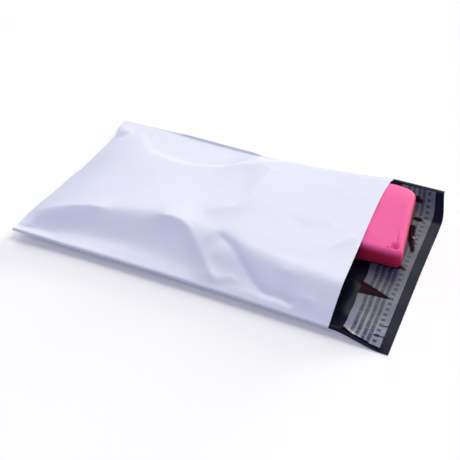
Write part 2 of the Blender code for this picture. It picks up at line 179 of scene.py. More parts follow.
def through(knots, x):
    """Smooth curve through the knots that never overshoots them, flat past both ends."""
    if x <= knots[0][0]:
        return knots[0][1]
    if x >= knots[-1][0]:
        return knots[-1][1]

    def slope(k):
        return (knots[k + 1][1] - knots[k][1]) / (knots[k + 1][0] - knots[k][0])

    def tangent(k):
        before = slope(max(k - 1, 0))
        after = slope(min(k, len(knots) - 2))
        return 2 * before * after / (before + after) if before * after > 0 else 0.0

    i = 0
    while knots[i + 1][0] <= x:
        i += 1
    width = knots[i + 1][0] - knots[i][0]
    t = (x - knots[i][0]) / width
    rise = 3 * t * t - 2 * t**3
    lean = t**3 - t * t
    start = knots[i][1] * (1 - rise) + tangent(i) * width * (lean - t * t + t)
    return start + knots[i + 1][1] * rise + tangent(i + 1) * width * lean


def lip_share(x):
    return clamp((x - POCKET_LENGTH) / LIP_LENGTH)


def near_weld_y(x):
    return through(NEAR_DRAW_IN, x / POCKET_LENGTH) * (1 - ease(lip_share(x))) + WELD_WIDTH


def far_weld_y(x):
    return BAG_WIDTH - WELD_WIDTH - through(FAR_DRAW_IN, x / POCKET_LENGTH)


def near_edge_height(x):
    held = through(NEAR_WELD_HEIGHT, x / POCKET_LENGTH)
    return held * (1 - ease(lip_share(x))) + FILM_THICKNESS / 2 * ease(lip_share(x))


def far_edge_height(x):
    return through(FAR_WELD_HEIGHT, x / POCKET_LENGTH)


def near_points(points, margin):
    """Box round the points with a margin: lowest and highest x, lowest and highest y."""
    xs = [point[0] for point in points]
    ys = [point[1] for point in points]
    return min(xs) - margin, max(xs) + margin, min(ys) - margin, max(ys) + margin


def outside(box, x, y):
    return x < box[0] or x > box[1] or y < box[2] or y > box[3]


CREASE_BOXES = [near_points(route, CREASE_REACH * max(runs)) for route, _, *runs in CREASES]


def crease_rise(x, y):
    """How far the creases raise the film at a place, less than nothing in a valley."""
    place = Vector((x, y))
    risen = 0.0
    for (route, height, left_run, right_run), box in zip(CREASES, CREASE_BOXES):
        if outside(box, x, y):
            continue
        gone = 0.0
        nearest = math.inf
        for a, b in zip(route, route[1:]):
            a, b = Vector(a), Vector(b)
            step = b - a
            along = clamp((place - a).dot(step) / step.length_squared)
            away = place - a.lerp(b, along)
            if away.length < nearest:
                nearest = away.length
                on_left = step.cross(place - a) > 0
                reached = gone + along * step.length
            gone += step.length
        run = left_run if on_left else right_run
        fade = ease(reached / (CREASE_FADE + left_run)) * ease((gone - reached) / CREASE_FADE)
        risen += height * fade * math.exp(-((nearest / run) ** CREASE_SHARPNESS))
    return risen


def film_unevenness(x, y):
    """Slack that the film keeps: long soft waves along the bag and finer dents on them."""
    slow = noise.noise(Vector((x * 14, y * 26, 3.1)))
    fine = noise.noise(Vector((x * 60, y * 85, 7.7)))
    return SLACK_WAVE_HEIGHT * slow + SLACK_DENT_HEIGHT * fine


def weld_gathers(x, edge_distance, seed):
    """Small gathers that stand across a weld and die out in a few centimetres."""
    wave = noise.noise(Vector((x * 75, seed, 0.4))) + 0.5 * noise.noise(Vector((x * 190, seed, 2.4)))
    return GATHER_HEIGHT * wave * math.exp(-edge_distance / GATHER_RUN)


def lift(height, distance, run, curl=ROUNDED_CURL):
    """How far the back panel is lifted at a distance from an edge that stands at a height."""
    return (height - FILM_THICKNESS / 2) * clamp(1 - distance / run) ** curl


def laid_height(x, y):
    """The front panel without its creases: a hump over the filling that dips and rises to each weld."""
    share = x / POCKET_LENGTH
    near_y = near_weld_y(x)
    far_y = far_weld_y(x)
    return through((
        (near_y, near_edge_height(x)),
        (near_y + through(NEAR_TROUGH, share), through(NEAR_TROUGH_HEIGHT, share)),
        (near_y + through(NEAR_SHOULDER, share), through(NEAR_SHOULDER_RISE, share) * FILLING_HEIGHT),
        ((near_y + far_y) / 2, through(CROWN_RISE, share) * FILLING_HEIGHT),
        (far_y - through(FAR_SHOULDER, share), through(FAR_SHOULDER_RISE, share) * FILLING_HEIGHT),
        (far_y - through(FAR_TROUGH, share), through(FAR_TROUGH_HEIGHT, share)),
        (far_y, far_edge_height(x)),
    ), y)


def slack_rise(x, y):
    """What creases, gathers and slack add to the front panel. It dies out at the welds."""
    from_near = y - near_weld_y(x)
    from_far = far_weld_y(x) - y
    rise = crease_rise(x, y) + film_unevenness(x, y)
    rise += weld_gathers(x, from_near, 1.0) + weld_gathers(x, from_far, 9.0)
    return rise * ease(min(from_near, from_far) / WELD_CLEARANCE)


def fold_height(y):
    """Height of the fold, where the front and the back panel meet."""
    return laid_height(0, y) + max(slack_rise(0, y), 0.0)


def front_height(x, y):
    """Middle of the front panel, which never sinks into the back panel under it."""
    height = laid_height(x, y) + slack_rise(x, y)
    near = y - near_weld_y(x)
    far = far_weld_y(x) - y
    under = lift(near_edge_height(x), near, SIDE_LIFT_RUN)
    under += lift(far_edge_height(x), far, SIDE_LIFT_RUN)
    if x < FOLD_LIFT_RUN:
        under = max(under, lift(fold_height(y), x, FOLD_LIFT_RUN))
    clearance = PANEL_CLEARANCE * clamp(x / OPENING_RUN) * clamp(min(near, far) / OPENING_RUN)
    return max(height, under + FILM_THICKNESS / 2 + clearance)


def pucker_share(x, y, pucker):
    """1 along the middle of a pucker, 0 at its edge and beyond."""
    start, end, start_half, end_half = pucker[:4]
    run = Vector(end) - Vector(start)
    along = clamp((Vector((x, y)) - Vector(start)).dot(run) / run.length_squared)
    away = (Vector((x, y)) - Vector(start) - run * along).length
    return ease(1 - away / (start_half + (end_half - start_half) * along))


def lip_ripple(x, y):
    """Shallow waves across the lip, with the puckers standing on them."""
    along = x - POCKET_LENGTH
    if along < -LINER_MARGIN:
        return 0.0
    wave = 0.5 - 0.5 * math.cos(2 * math.pi * y / RIPPLE_PITCH)
    height = 0.5 * RIPPLE_HEIGHT * wave * ease(along / LINER_MARGIN)
    return height + sum(pucker[4] * pucker_share(x, y, pucker) for pucker in LIP_PUCKERS)


def back_height(x, y):
    """Middle of the back panel and the lip: flat on the surface, lifted along its edges."""
    near = lift(near_edge_height(x), y - near_weld_y(x), SIDE_LIFT_RUN)
    far_curl = ROUNDED_CURL + (KINKED_CURL - ROUNDED_CURL) * ease(lip_share(x))
    far = lift(far_edge_height(x), far_weld_y(x) - y, SIDE_LIFT_RUN, far_curl)
    fold = lift(fold_height(y), x, FOLD_LIFT_RUN) if x < FOLD_LIFT_RUN else 0.0
    return FILM_THICKNESS / 2 + max(near + far, fold) + lip_ripple(x, y)


def film_point(side, out, run):
    """Place in the filled bag of a point of the flat sheet.

    side goes from the near weld to the far one, out is the share of the weld strip beyond it, and run
    goes along the sheet: 0 at the front panel's cut edge, 1 at the fold, 2 at the mouth, 3 at the
    lip's cut edge.
    """
    share = clamp(abs(1 - run))
    fold_x = through(FOLD_BOW, side)
    mouth_x = POCKET_LENGTH + through(MOUTH_BOW, side)
    lip_x = POCKET_LENGTH + LIP_LENGTH + through(LIP_BOW, side)
    x = fold_x + (mouth_x - fold_x) * share
    x += (lip_x - mouth_x) * clamp(run - 2)
    near_y = near_weld_y(x)
    far_y = far_weld_y(x)
    y = near_y + (far_y - near_y) * side
    if side == 0.0:
        reach = NEAR_FLANGE * (out - NEAR_FLANGE_ROLL * out * out)
        height = near_edge_height(x) - NEAR_FLANGE_DROOP * out * out * (1 - lip_share(x))
        return Vector((x, y - reach, max(height, FILM_THICKNESS / 2)))
    if side == 1.0:
        tilt = through(FAR_FLANGE_TILT, x / POCKET_LENGTH) * out
        return Vector((x, y + WELD_WIDTH * out, far_edge_height(x) + tilt))
    return Vector((x, y, front_height(x, y) if run <= 1 else back_height(x, y)))


FOLD_SCALE_SHARE = 0.55
FOLD_HEIGHT_SHARE = 0.35
CRINKLE_DEPTH = 0.001


def film_crinkle_group():
    """Fine crackle of thin plastic: soft dents with sharper folds between them, and roll streaks."""
    group = bpy.data.node_groups.new("film_crinkle", "ShaderNodeTree")
    for name, kind, where in (
        ("Dent Scale", "NodeSocketFloat", "INPUT"),
        ("Streaks", "NodeSocketFloat", "INPUT"),
        ("Height", "NodeSocketFloat", "OUTPUT"),
        ("Streak Mask", "NodeSocketFloat", "OUTPUT"),
    ):
        group.interface.new_socket(name, in_out=where, socket_type=kind)
    nodes, links = group.nodes, group.links
    given = nodes.new("NodeGroupInput")
    put = nodes.new("NodeGroupOutput")
    place = nodes.new("ShaderNodeTexCoord")
    dents = nodes.new("ShaderNodeTexNoise")
    dents.inputs["Detail"].default_value = 3.0
    dents.inputs["Distortion"].default_value = 0.6
    folds = nodes.new("ShaderNodeTexVoronoi")
    folds.feature = "SMOOTH_F1"
    folds.inputs["Smoothness"].default_value = 0.6
    links.new(given.outputs["Dent Scale"], dents.inputs["Scale"])
    wider = nodes.new("ShaderNodeMath")
    wider.operation = "MULTIPLY"
    wider.inputs[1].default_value = FOLD_SCALE_SHARE
    links.new(given.outputs["Dent Scale"], wider.inputs[0])
    links.new(wider.outputs[0], folds.inputs["Scale"])
    stretch = nodes.new("ShaderNodeMapping")
    stretch.inputs["Scale"].default_value = (6.0, 260.0, 6.0)
    streaks = nodes.new("ShaderNodeTexNoise")
    streaks.inputs["Scale"].default_value = 1.0
    streaks.inputs["Detail"].default_value = 2.0
    for texture in (dents, folds, stretch):
        links.new(place.outputs["Object"], texture.inputs["Vector"])
    links.new(stretch.outputs["Vector"], streaks.inputs["Vector"])
    folded = nodes.new("ShaderNodeMath")
    folded.operation = "MULTIPLY_ADD"
    folded.inputs[1].default_value = FOLD_HEIGHT_SHARE
    links.new(folds.outputs["Distance"], folded.inputs[0])
    links.new(dents.outputs["Fac"], folded.inputs[2])
    streaked = nodes.new("ShaderNodeMath")
    streaked.operation = "MULTIPLY_ADD"
    links.new(streaks.outputs["Fac"], streaked.inputs[0])
    links.new(given.outputs["Streaks"], streaked.inputs[1])
    links.new(folded.outputs[0], streaked.inputs[2])
    links.new(streaked.outputs[0], put.inputs["Height"])
    links.new(streaks.outputs["Fac"], put.inputs["Streak Mask"])
    return group


FILM_CRINKLE = film_crinkle_group()


def new_material(name):
    """A new material with its nodes, its links and its shader."""
    made = bpy.data.materials.new(name)
    made.use_nodes = True
    nodes, links = made.node_tree.nodes, made.node_tree.links
    return made, nodes, links, nodes["Principled BSDF"]


def crinkle_surface(nodes, links, shader, dent_scale, streaks, bump):
    """Places the crinkle in a film's material and returns its mask of roll streaks."""
    crinkle = nodes.new("ShaderNodeGroup")
    crinkle.node_tree = FILM_CRINKLE
    crinkle.inputs["Dent Scale"].default_value = dent_scale
    crinkle.inputs["Streaks"].default_value = streaks
    raised = nodes.new("ShaderNodeBump")
    raised.inputs["Strength"].default_value = bump
    raised.inputs["Distance"].default_value = CRINKLE_DEPTH
    links.new(crinkle.outputs["Height"], raised.inputs["Height"])
    links.new(raised.outputs["Normal"], shader.inputs["Normal"])
    return crinkle.outputs["Streak Mask"]


def film_material(name, colour, tint, roughness, spread, dent_scale, streaks, bump, shine=0.5):
    """Polyethylene film: a faint cast in places, roll streaks in its gloss, and crinkle."""
    made, nodes, links, shader = new_material(name)
    shader.inputs["Specular IOR Level"].default_value = shine
    streak_mask = crinkle_surface(nodes, links, shader, dent_scale, streaks, bump)
    cast = nodes.new("ShaderNodeMix")
    cast.data_type = "RGBA"
    cast.inputs["A"].default_value = colour
    cast.inputs["B"].default_value = tint
    gloss = nodes.new("ShaderNodeMapRange")
    gloss.inputs["To Min"].default_value = roughness - spread
    gloss.inputs["To Max"].default_value = roughness + spread
    links.new(streak_mask, cast.inputs["Factor"])
    links.new(streak_mask, gloss.inputs["Value"])
    links.new(cast.outputs["Result"], shader.inputs["Base Color"])
    links.new(gloss.outputs["Result"], shader.inputs["Roughness"])
    return made


white_film = film_material(
    "white_film", colour=(0.775, 0.790, 0.895, 1), tint=(0.755, 0.770, 0.880, 1), roughness=0.34,
    spread=0.05, dent_scale=70, streaks=0.10, bump=0.12,
)
black_film = film_material(
    "black_film", colour=(0.005, 0.005, 0.011, 1), tint=(0.009, 0.009, 0.019, 1), roughness=0.20,
    spread=0.03, dent_scale=110, streaks=0.15, bump=0.12, shine=0.11,
)
black_shader = black_film.node_tree.nodes["Principled BSDF"]
black_shader.inputs["Specular Tint"].default_value = (0.62, 0.66, 1.0, 1)


def add_piece(name, mesh, slots):
    """Adds a mesh to the scene as a piece with its materials, shaded smooth."""
    for material in slots:
        mesh.materials.append(material)
    mesh.shade_smooth()
    piece = bpy.data.objects.new(name, mesh)
    bpy.context.scene.collection.objects.link(piece)
    return piece


def apply_modifiers(piece):
    """Keeps the piece as its modifiers show it, smooth apart from its sharp edges."""
    bpy.context.view_layer.update()
    graph = bpy.context.evaluated_depsgraph_get()
    kept = bpy.data.meshes.new_from_object(piece.evaluated_get(graph), depsgraph=graph)
    piece.modifiers.clear()
    piece.data = kept
    kept.shade_smooth()
    kept.set_sharp_from_angle(angle=SHARP_EDGE)


def make_film():
    """Folds the flat sheet, melts the panels together along both sides, and gives it its thickness.

    The front panel has no faces of its own in the welds, where the two panels are one.
    """
    columns = ACROSS_CELLS + 2 * WELD_CELLS
    runs = [row / POCKET_CELLS for row in range(2 * POCKET_CELLS)]
    runs += [2 + row / LIP_CELLS for row in range(LIP_CELLS + 1)]
    bm = bmesh.new()
    rows = []
    for run in runs:
        line = []
        for column in range(columns + 1):
            side = clamp((column - WELD_CELLS) / ACROSS_CELLS)
            out = max(WELD_CELLS - column, column - columns + WELD_CELLS, 0) / WELD_CELLS
            line.append(bm.verts.new(film_point(side, out, run) + FOLD_CORNER))
        rows.append(line)
    for row, (before, after) in enumerate(zip(rows, rows[1:])):
        for column in range(columns):
            in_weld = not WELD_CELLS <= column < columns - WELD_CELLS
            if in_weld and row < POCKET_CELLS:
                continue
            corners = (before[column], before[column + 1], after[column + 1], after[column])
            face = bm.faces.new(corners)
            face.material_index = 2 if in_weld and row < 2 * POCKET_CELLS else 0
    loose = [vert for vert in bm.verts if not vert.link_faces]
    bmesh.ops.delete(bm, geom=loose, context="VERTS")
    bmesh.ops.remove_doubles(bm, verts=bm.verts, dist=MELT_DISTANCE)
    mesh = bpy.data.meshes.new("mailer_film_sheet")
    bm.to_mesh(mesh)
    bm.free()
    # The panels are white outside and black inside, and the welds are white on both sides.
    film = add_piece("bag_film", mesh, (white_film, black_film, white_film, white_film))
    thicken = film.modifiers.new("film_gauge", "SOLIDIFY")
    thicken.solidify_mode = "NON_MANIFOLD"
    thicken.nonmanifold_thickness_mode = "FIXED"
    thicken.nonmanifold_boundary_mode = "NONE"
    thicken.nonmanifold_merge_threshold = 0.00001
    thicken.thickness = FILM_THICKNESS
    thicken.offset = 0.0
    thicken.material_offset = 1
    apply_modifiers(film)
    return film


film = make_film()
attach(film, "root")
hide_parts("mailer_film")

# The adhesive
# A line of pressure-sensitive hot melt, laid on the lip when the bag was made. The liner covers it.
LINER_WIDTH = 0.038
ADHESIVE_WIDTH = 0.020
ADHESIVE_LIFT = 0.00065
ADHESIVE_THICKNESS = 0.0003
ADHESIVE_END_MARGIN = 0.009
TAPE_SCALLOP = 0.55


def make_tape(name, start, end, lift_up, thickness, end_margin, edge_wander, cells, slots):
    """A tape across the lip that follows its film.

    Its UV map is in metres from its inner edge and its near end, and the loose attribute is 1 where it
    has come away in a pucker.
    """
    rows, columns = cells
    bm = bmesh.new()
    metres = bm.loops.layers.uv.new("tape_metres")
    loose = bm.verts.layers.float.new("loose")
    lines = []
    for row in range(rows + 1):
        line = []
        for column in range(columns + 1):
            scallop = TAPE_SCALLOP * noise.noise(Vector((row / rows * 7.0, 1.5, 0.0)))
            near_end = end_margin * (1 + scallop) / BAG_WIDTH
            side = near_end + (1 - end_margin / BAG_WIDTH - near_end) * column / columns
            wander = edge_wander * noise.noise(Vector((side * 18, 4.0, 0.5)))
            along = start + wander * (1 - row / rows) + (end - start) * row / rows
            place = film_point(side, 0.0, 2 + along / LIP_LENGTH)
            vert = bm.verts.new(place + FOLD_CORNER + Vector((0, 0, lift_up)))
            share = max(pucker_share(place.x, place.y, pucker) for pucker in LIP_PUCKERS)
            # The liner's material paints these pucker patches with painted shade and a painted reflection
            # of the garment.
            vert[loose] = ease(share / PUCKER_EDGE)
            line.append(vert)
        lines.append(line)
    for row, (before, after) in enumerate(zip(lines, lines[1:])):
        for column in range(columns):
            face = bm.faces.new((before[column], after[column], after[column + 1], before[column + 1]))
            places = ((row, column), (row + 1, column), (row + 1, column + 1), (row, column + 1))
            for loop, (r, c) in zip(face.loops, places):
                loop[metres].uv = ((end - start) * r / rows, BAG_WIDTH * c / columns)
    mesh = bpy.data.meshes.new(name)
    bm.to_mesh(mesh)
    bm.free()
    tape = add_piece(name, mesh, slots)
    thicken = tape.modifiers.new("tape_gauge", "SOLIDIFY")
    thicken.thickness = thickness
    thicken.offset = 0.0
    apply_modifiers(tape)
    return tape


adhesive_amber = film_material(
    "adhesive_amber", colour=(0.62, 0.52, 0.30, 1), tint=(0.55, 0.44, 0.22, 1), roughness=0.22,
    spread=0.06, dent_scale=160, streaks=0.0, bump=0.3,
)
adhesive_start = LINER_MARGIN + (LINER_WIDTH - ADHESIVE_WIDTH) / 2
adhesive = make_tape(
    "adhesive_line", start=adhesive_start, end=adhesive_start + ADHESIVE_WIDTH, lift_up=ADHESIVE_LIFT,
    thickness=ADHESIVE_THICKNESS, end_margin=ADHESIVE_END_MARGIN, edge_wander=0.0,
    cells=(12, 110), slots=(adhesive_amber,),
)
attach(adhesive, "root")
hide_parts("adhesive_strip")

# The release liner
# A strip of siliconised polypropylene film over the adhesive, printed with dark bands and a row of
# blocks. It is stuck down only by the adhesive under it, so it puckers with the lip.
LINER_LIFT = 0.00125
LINER_THICKNESS = 0.0003
LINER_END_MARGIN = 0.0025
LINER_EDGE_WANDER = 0.0012
BAND_CENTRES = (0.0084, 0.0141, 0.0204, 0.0255)
BAND_HALF_WIDTH = 0.00150
BAND_SHIFT = 0.0037
BAND_GAP_PITCH = 0.0125
BAND_GAP_SHARE = 0.09
BAND_GAP_FADE = 0.5
BLOCK_ROW = 0.0314
BLOCK_HALF_WIDTH = 0.0017
BLOCK_PITCH = 0.0080
BLOCK_SHARE = 0.50
PRINT_EDGE = 0.0005
# The liner is painted lighter over its first ten centimetres from the near end and darker further in, as
# painted light and painted shade, with a random mottle between the same two greys.
PAINTED_LIGHT_REACH = 0.10
LINER_MOTTLE_AND_PAINTED_LIGHT = (0.215, 0.225, 0.310, 1)
LINER_MOTTLE_AND_PAINTED_SHADE = (0.085, 0.090, 0.125, 1)
PRINT_DARK = (0.030, 0.033, 0.050, 1)
# The puckers are painted dark maroon and near black: painted shade, and a painted reflection of the pink
# garment.
PUCKER_PAINTED_REFLECTION_AND_SHADE = (0.024, 0.003, 0.007, 1)
PUCKER_PAINTED_SHADE = (0.004, 0.003, 0.004, 1)
LINER_SHINE = 0.25
LINER_ROUGHNESS = 0.20
LINER_ROUGHNESS_SPREAD = 0.12


def liner_material():
    """Grey film with painted light towards the near edge and painted shade further in. The print is laid
    out in the tape's metres.
    """
    made, nodes, links, shader = new_material("liner_film")

    def put(socket, value):
        """Links a node's output to the socket, or sets a plain value on it."""
        if isinstance(value, bpy.types.NodeSocket):
            links.new(value, socket)
        else:
            socket.default_value = value

    def calc(operation, a, b=0.0):
        node = nodes.new("ShaderNodeMath")
        node.operation = operation
        put(node.inputs[0], a)
        put(node.inputs[1], b)
        return node.outputs[0]

    def ramp(value, low, high):
        """0 at low and 1 at high, which may be the lesser."""
        node = nodes.new("ShaderNodeMapRange")
        put(node.inputs["Value"], value)
        node.inputs["From Min"].default_value = low
        node.inputs["From Max"].default_value = high
        return node.outputs["Result"]

    def blend(share, a, b):
        node = nodes.new("ShaderNodeMix")
        node.data_type = "RGBA"
        put(node.inputs["Factor"], share)
        put(node.inputs["A"], a)
        put(node.inputs["B"], b)
        return node.outputs["Result"]

    place = nodes.new("ShaderNodeUVMap")
    place.uv_map = "tape_metres"
    split = nodes.new("ShaderNodeSeparateXYZ")
    links.new(place.outputs["UV"], split.inputs[0])
    down, across = split.outputs["X"], split.outputs["Y"]
    grain = nodes.new("ShaderNodeTexNoise")
    grain.inputs["Scale"].default_value = 700.0
    links.new(place.outputs["UV"], grain.inputs["Vector"])
    cloud = nodes.new("ShaderNodeTexNoise")
    cloud.inputs["Scale"].default_value = 32.0
    cloud.inputs["Detail"].default_value = 3.0
    links.new(place.outputs["UV"], cloud.inputs["Vector"])

    def stripe(centre, half_width):
        """1 on a line along the tape at a distance from its inner edge, 0 beside it."""
        away = calc("ABSOLUTE", calc("SUBTRACT", down, centre))
        return ramp(away, half_width + PRINT_EDGE, half_width)

    bands = 0.0
    for index, centre in enumerate(BAND_CENTRES):
        shifted = calc("ADD", across, BAND_SHIFT * index)
        gap = calc("LESS_THAN", calc("FRACT", calc("DIVIDE", shifted, BAND_GAP_PITCH)), BAND_GAP_SHARE)
        band = stripe(centre, BAND_HALF_WIDTH)
        unfaded = calc("SUBTRACT", 1.0, calc("MULTIPLY", gap, BAND_GAP_FADE))
        bands = calc("MAXIMUM", bands, calc("MULTIPLY", band, unfaded))
    in_block = calc("GREATER_THAN", calc("FRACT", calc("DIVIDE", across, BLOCK_PITCH)), BLOCK_SHARE)
    printing = calc("MAXIMUM", bands, calc("MULTIPLY", stripe(BLOCK_ROW, BLOCK_HALF_WIDTH), in_block))
    worn = calc("MULTIPLY", printing, calc("ADD", calc("MULTIPLY", grain.outputs["Fac"], 0.3), 0.75))
    # Painted light and shade: lighter towards the near end, darker further in, plus a random mottle.
    lit = calc("ADD", ramp(across, PAINTED_LIGHT_REACH, 0.0), calc("SUBTRACT", cloud.outputs["Fac"], 0.35))
    plain = blend(lit, LINER_MOTTLE_AND_PAINTED_SHADE, LINER_MOTTLE_AND_PAINTED_LIGHT)
    printed = blend(worn, plain, PRINT_DARK)
    # Where the liner has come away in a pucker, its colour gives way to painted shade and a painted
    # reflection of the garment, near black on the print.
    loose = nodes.new("ShaderNodeAttribute")
    loose.attribute_name = "loose"
    painted_pucker_shade = blend(calc("MULTIPLY", printing, 0.5), PUCKER_PAINTED_REFLECTION_AND_SHADE, PUCKER_PAINTED_SHADE)
    links.new(blend(loose.outputs["Fac"], printed, painted_pucker_shade), shader.inputs["Base Color"])
    stuck = ramp(loose.outputs["Fac"], 1.1, 0.0)
    links.new(calc("MULTIPLY", stuck, LINER_SHINE), shader.inputs["Specular IOR Level"])
    streak_mask = crinkle_surface(nodes, links, shader, dent_scale=150, streaks=0.05, bump=0.22)
    rougher = calc("MULTIPLY", streak_mask, LINER_ROUGHNESS_SPREAD)
    links.new(calc("ADD", rougher, LINER_ROUGHNESS), shader.inputs["Roughness"])
    return made


liner = make_tape(
    "release_liner_film", start=LINER_MARGIN, end=LINER_MARGIN + LINER_WIDTH, lift_up=LINER_LIFT,
    thickness=LINER_THICKNESS, end_margin=LINER_END_MARGIN, edge_wander=LINER_EDGE_WANDER,
    cells=(44, 280), slots=(liner_material(),),
)
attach(liner, "root")
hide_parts("release_liner")

# The garment
# A pink jersey garment folded into a slab about 24 mm thick, pushed into the pocket. Its last fold
# stands out of the mouth, with a hem seam round its lower edge.
GARMENT_THICKNESS = 0.0245
GARMENT_START = 0.150
GARMENT_SHOULDER = 0.285
GARMENT_STEP_END = 0.328
GARMENT_SLACK = 0.005
GARMENT_GAP = 0.0004
FILM_GAP = 0.0008
SLEEVE_NEAR_MARGIN = 0.112
SLEEVE_FAR_MARGIN = 0.015
SLEEVE_REACH_NEAR = 0.042
SLEEVE_REACH_FAR = 0.028
EDGE_ROUND = 0.0085
EDGE_SQUARENESS = 3.0
END_SEAM_IN = 0.0014
END_SEAM_WIDTH = 0.0010
END_SEAM_DEPTH = 0.0014
END_CROWDING = 1.7
NEAR_CORNER = 0.007
FAR_CORNER = 0.015
SEAM_LEVEL = -0.45
SEAM_WIDTH = 0.05
SEAM_BEAD = 0.0009
SEAM_GROOVE = 0.0011
SEAM_GROOVE_SPREAD = 3.4
SLUMP = 0.0013
SLUMP_START = 0.33
SLUMP_RUN = 0.02
TOP_SETTLE = 0.0012
DIMPLE = (0.3850, 0.1235)
DIMPLE_DEPTH = 0.0062
DIMPLE_SIZE = 0.0036
GARMENT_GRID = (120, 84)
GARMENT_SIDE_ROWS = 30
# Where the painted shade on the garment's sides begins below the top, and how far it fades in.
PAINTED_SHADE_LEVEL = 0.99
PAINTED_SHADE_RUN = 0.60
JERSEY_PINK = (0.97, 0.110, 0.365, 1)
JERSEY_ROSE = (0.93, 0.092, 0.330, 1)
# The garment's sides are painted this deeper red as painted shade.
JERSEY_PAINTED_SHADE = (0.80, 0.012, 0.070, 1)


def garment_side_y(x):
    """Near and far side of the slab at x."""
    inside = near_weld_y(x) + through(NEAR_SHOULDER, x / POCKET_LENGTH) + GARMENT_SLACK
    step = ease((x - GARMENT_SHOULDER) / (GARMENT_STEP_END - GARMENT_SHOULDER))
    near = inside + (SLEEVE_NEAR_MARGIN - inside) * step
    inside = far_weld_y(x) - through(FAR_SHOULDER, x / POCKET_LENGTH) - GARMENT_SLACK
    spread = ease((x - GARMENT_START) / (POCKET_LENGTH - GARMENT_START))
    return near, inside + (BAG_WIDTH - SLEEVE_FAR_MARGIN - inside) * spread


def corner_cut(distance, radius):
    """How far a rounded corner falls short of a square one at a distance from its side."""
    into = clamp(1 - distance / radius)
    return radius * (1 - math.sqrt(1 - into * into))


def garment_point(along, side, level):
    """Place of a point of the slab. level goes from -1 at its underside to 1 on top."""
    seam = (level - SEAM_LEVEL) / SEAM_WIDTH
    bead = (SEAM_BEAD + SEAM_GROOVE) * math.exp(-seam * seam)
    pulled = SEAM_GROOVE * math.exp(-((seam / SEAM_GROOVE_SPREAD) ** 2)) - bead
    flat = max(0.0, 1 - abs(level) ** EDGE_SQUARENESS) ** (1 / EDGE_SQUARENESS)
    round_in = EDGE_ROUND * (1 - flat) + pulled * (1 - level * level)
    along = 1 - (1 - along) ** END_CROWDING
    reach = SLEEVE_REACH_NEAR + (SLEEVE_REACH_FAR - SLEEVE_REACH_NEAR) * side
    near_end, far_end = garment_side_y(POCKET_LENGTH)
    end = POCKET_LENGTH + reach - corner_cut((far_end - near_end) * side, NEAR_CORNER)
    end -= corner_cut((far_end - near_end) * (1 - side), FAR_CORNER)
    start = GARMENT_START + round_in
    x = start + (end - round_in - start) * along
    near_y, far_y = garment_side_y(x)
    y = near_y + round_in + (far_y - near_y - 2 * round_in) * side
    slump = SLUMP * noise.noise(Vector((x * 38, y * 30, level * 0.8)))
    y += slump * clamp((x - SLUMP_START) / SLUMP_RUN)
    closure = LINER_LIFT + LINER_THICKNESS / 2
    on_closure = closure * ease((x - POCKET_LENGTH + LINER_MARGIN / 2) / LINER_MARGIN)
    bottom = back_height(x, y) + FILM_THICKNESS / 2 + GARMENT_GAP + on_closure
    under_film = front_height(min(x, POCKET_LENGTH), y) - FILM_THICKNESS / 2 - FILM_GAP
    settled = TOP_SETTLE * (0.6 + noise.noise(Vector((x * 45, y * 28, 5.2))))
    from_seam = (end - EDGE_ROUND - x - END_SEAM_IN) / END_SEAM_WIDTH
    settled += END_SEAM_DEPTH * math.exp(-(from_seam**2))
    from_dimple = ((x - DIMPLE[0]) ** 2 + (y - DIMPLE[1]) ** 2) / DIMPLE_SIZE**2
    settled += DIMPLE_DEPTH * math.exp(-from_dimple)
    top = min(under_film, bottom + GARMENT_THICKNESS - settled)
    height = bottom + (top - bottom) * (level + 1) / 2
    return Vector((x, y, height))


def make_garment():
    """A closed slab: two faces and a rounded band between them, with the seam's bead on the band."""
    long, across = GARMENT_GRID
    bm = bmesh.new()
    painted_side_shade = bm.verts.layers.float.new("painted_side_shade")

    def added(i, j, level):
        return bm.verts.new(garment_point(i / long, j / across, level))

    faces = {}
    for level in (-1, 1):
        grid = [[added(i, j, level) for j in range(across + 1)] for i in range(long + 1)]
        faces[level] = grid
        for i in range(long):
            for j in range(across):
                corners = (grid[i][j], grid[i + 1][j], grid[i + 1][j + 1], grid[i][j + 1])
                bm.faces.new(corners if level == 1 else corners[::-1])
    loop = [(i, 0) for i in range(long)] + [(long, j) for j in range(across)]
    loop += [(i, across) for i in range(long, 0, -1)] + [(0, j) for j in range(across, 0, -1)]
    rings = [[faces[-1][i][j] for i, j in loop]]
    for step in range(1, GARMENT_SIDE_ROWS):
        level = -math.cos(math.pi * step / GARMENT_SIDE_ROWS)
        rings.append([added(i, j, level) for i, j in loop])
        for vert in rings[-1]:
            # The band below the top's edge is marked for painted shade in the jersey's material.
            vert[painted_side_shade] = ease((PAINTED_SHADE_LEVEL - level) / PAINTED_SHADE_RUN)
    rings.append([faces[1][i][j] for i, j in loop])
    for low, high in zip(rings, rings[1:]):
        for k in range(len(loop)):
            n = (k + 1) % len(loop)
            bm.faces.new((low[k], low[n], high[n], high[k]))
    for vert in bm.verts:
        vert.co += FOLD_CORNER
    mesh = bpy.data.meshes.new("garment")
    bm.to_mesh(mesh)
    bm.free()
    return mesh


